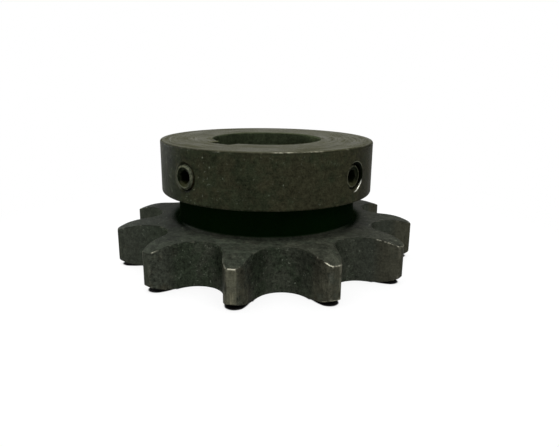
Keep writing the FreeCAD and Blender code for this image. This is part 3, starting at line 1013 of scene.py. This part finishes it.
seat_tree = seated_screw()
screws = []
for name, reach, heading, spin, lightness in (
    ("screw_over_keyway", KEYWAY_SCREW_REACH, -math.pi / 2, math.radians(8), 1.0),
    ("screw_at_side", SIDE_SCREW_REACH, SCREW_SPREAD - math.pi / 2, math.radians(21), 0.45),
):
    screw = built(name, set_screw_mesh(), seat_tree, {
        "Reach": reach * MM,
        "Height": SCREW_HEIGHT * MM,
        "Heading": heading,
        "Spin": spin,
        "Finish": set_steel,
    })
    note_edges(screw.data, low=12, high=40)
    note_end(screw.data, reach, heading, lightness)
    screws.append(screw)

for piece, node, finish in (
    (sprocket, "sprocket", "black_oxide_steel"),
    (screws[0], "keyway_set_screw", "set_screw_steel"),
    (screws[1], "side_set_screw", "set_screw_steel"),
):
    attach(piece, "root")
    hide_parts(node)

# Floor, world, lamps and camera
FLOOR_REACH = 3.0
WORLD_LIGHT = 0.3

# The painted shadow under a tooth: half its width, and from which radius and how fast it narrows
SHADOW_HALF_WIDTH = 3.93
SHADOW_TAPER_START = 43.5
SHADOW_TAPER = 0.0425

# Each lamp's name, its place and target in metres, its width in metres and its power in watts
LAMPS = (
    ("lamp_above", (-0.1, 0.1, 0.85), (0, 0, 0.03), 1.2, 11.5),
    ("lamp_left", (-0.1, -0.55, 0.7), (0, 0, 0.02), 0.4, 1.2),
    ("lamp_edge", (-0.72, -0.12, 0.14), (0, 0, 0.02), 0.4, 4.0),
    ("lamp_right", (0.6, -0.1, 0.6), (0, 0, 0.02), 0.4, 2.0),
)


def white_where_seen(bench, other, share):
    """White to the camera and in reflections, and the other shader for plain light.

    The share says how much of the white covers a floor. The world gives none.
    """
    camera_ray = bench.node("ShaderNodeLightPath", output="Is Camera Ray")
    seen = bench.math("MAXIMUM", camera_ray, bench.other(camera_ray, "Is Glossy Ray"))
    seen = bench.math("MAXIMUM", seen, bench.other(camera_ray, "Is Transmission Ray"))
    kind = "ShaderNodeBackground" if share is None else "ShaderNodeEmission"
    white = bench.node(kind, None, {"Color": WHITE, "Strength": 1.0})
    share = seen if share is None else seen * share
    return bench.node("ShaderNodeMixShader", None, {0: share, 1: other, 2: white})


def under_teeth(bench, x, y, radius):
    """1 on the floor beneath the plate and its teeth, and 0 in the gaps, past the tips and in the bore."""
    around = bench.math("ARCTAN2", y, x) / (2 * HALF_PITCH_ANGLE) - 0.25 * TEETH
    across = (bench.math("FRACT", around + 0.5) - 0.5) * (2 * HALF_PITCH_ANGLE)
    from_gap_x = radius * bench.math("COSINE", across) - PITCH_RADIUS
    from_gap_y = radius * bench.math("SINE", across)
    from_gap = bench.math("SQRT", from_gap_x * from_gap_x + from_gap_y * from_gap_y)
    off_middle = bench.math("ABSOLUTE", bench.math("FRACT", around) - 0.5)
    from_middle = radius * off_middle * (2 * HALF_PITCH_ANGLE)
    taper = bench.math("MAXIMUM", radius - SHADOW_TAPER_START, 0.0)
    flank_side = from_middle - SHADOW_HALF_WIDTH + taper * taper * SHADOW_TAPER
    between_flanks = 1 - bench.step(flank_side, -0.6, 0.0)
    tooth_share = bench.math("MAXIMUM", between_flanks, 1 - bench.step(radius, 43.0, 44.0))
    tip_reach = TIP_RADIUS - 0.8 - from_middle * from_middle * 0.2
    inside = tooth_share * bench.step(from_gap, 8.05, 8.6)
    inside = inside * bench.step(radius, BORE_RADIUS, BORE_RADIUS + 0.4)
    return inside * (1 - bench.step(radius - tip_reach, -0.5, 0.2))


def lay_floor():
    """White paper that keeps the object's shadow, with a painted shadow under the teeth."""
    mesh = bpy.data.meshes.new("floor")
    near, far = -FLOOR_REACH, FLOOR_REACH
    corners = [(near, near, 0), (far, near, 0), (far, far, 0), (near, far, 0)]
    mesh.from_pydata(corners, [], [(0, 1, 2, 3)])
    floor = make_object("floor", mesh)
    material, bench = new_material("white_floor")
    _, (x, y, _) = object_place(bench)
    radius = bench.math("SQRT", x * x + y * y)
    # where a shadow is painted on the paper under the teeth
    inside = under_teeth(bench, x, y, radius)
    away = bench.step(radius, 60.0, 130.0)
    paper = bench.node("ShaderNodeBsdfDiffuse", None, {"Color": PAPER})
    shadow = bench.node("ShaderNodeBsdfDiffuse", None, {"Color": PAPER_IN_SHADOW})
    ground = bench.node("ShaderNodeMixShader", None, {0: inside, 1: paper, 2: shadow})
    surface = white_where_seen(bench, ground, (1 - inside) * (0.85 + away * 0.15))
    bench.node("ShaderNodeOutputMaterial", None, {"Surface": surface})
    mesh.materials.append(material)


def light_world(strength):
    world = bpy.data.worlds.new("studio")
    world.use_nodes = True
    bpy.context.scene.world = world
    bench = Bench(world.node_tree)
    plain = bench.node("ShaderNodeBackground", None, {"Color": WHITE, "Strength": strength})
    surface = white_where_seen(bench, plain, None)
    bench.node("ShaderNodeOutputWorld", None, {"Surface": surface})


def hang_lamp(name, place, target, size, power):
    lamp = bpy.data.lights.new(name, "AREA")
    lamp.shape = "DISK"
    lamp.size = size
    lamp.energy = power
    holder = bpy.data.objects.new(name, lamp)
    bpy.context.scene.collection.objects.link(holder)
    toward = Vector(target) - Vector(place)
    holder.matrix_world = Matrix.Translation(place) @ toward.to_track_quat("-Z", "Y").to_matrix().to_4x4()


# Where the photograph was taken from, found by fitting a plain lens to the sprocket's edges
CAMERA_DISTANCE = 5.0909 * HUB_RADIUS * MM
CAMERA_HEIGHT = 1.7279 * HUB_RADIUS * MM
CAMERA_PITCH = 0.2721
CAMERA_YAW = -0.0253
CAMERA_ROLL = 0.0121
FOCAL_PIXELS = 529.1924
PHOTO_WIDTH = 559
SENSOR = 36.0


def place_camera():
    camera = bpy.data.cameras.new("camera")
    camera.sensor_width = SENSOR
    camera.lens = FOCAL_PIXELS / PHOTO_WIDTH * SENSOR
    camera.clip_start = 0.01
    holder = bpy.data.objects.new("camera", camera)
    bpy.context.scene.collection.objects.link(holder)
    spot = Matrix.Rotation(HEADING, 4, "Z") @ Vector((0, -CAMERA_DISTANCE, CAMERA_HEIGHT))
    holder.matrix_world = (
        Matrix.Translation(spot)
        @ Matrix.Rotation(HEADING + CAMERA_YAW, 4, "Z")
        @ Matrix.Rotation(math.pi / 2 - CAMERA_PITCH, 4, "X")
        @ Matrix.Rotation(CAMERA_ROLL, 4, "Z")
    )
    bpy.context.scene.camera = holder


lay_floor()
light_world(WORLD_LIGHT)
for lamp in LAMPS:
    hang_lamp(*lamp)
place_camera()
bpy.context.scene.view_settings.view_transform = "Standard"
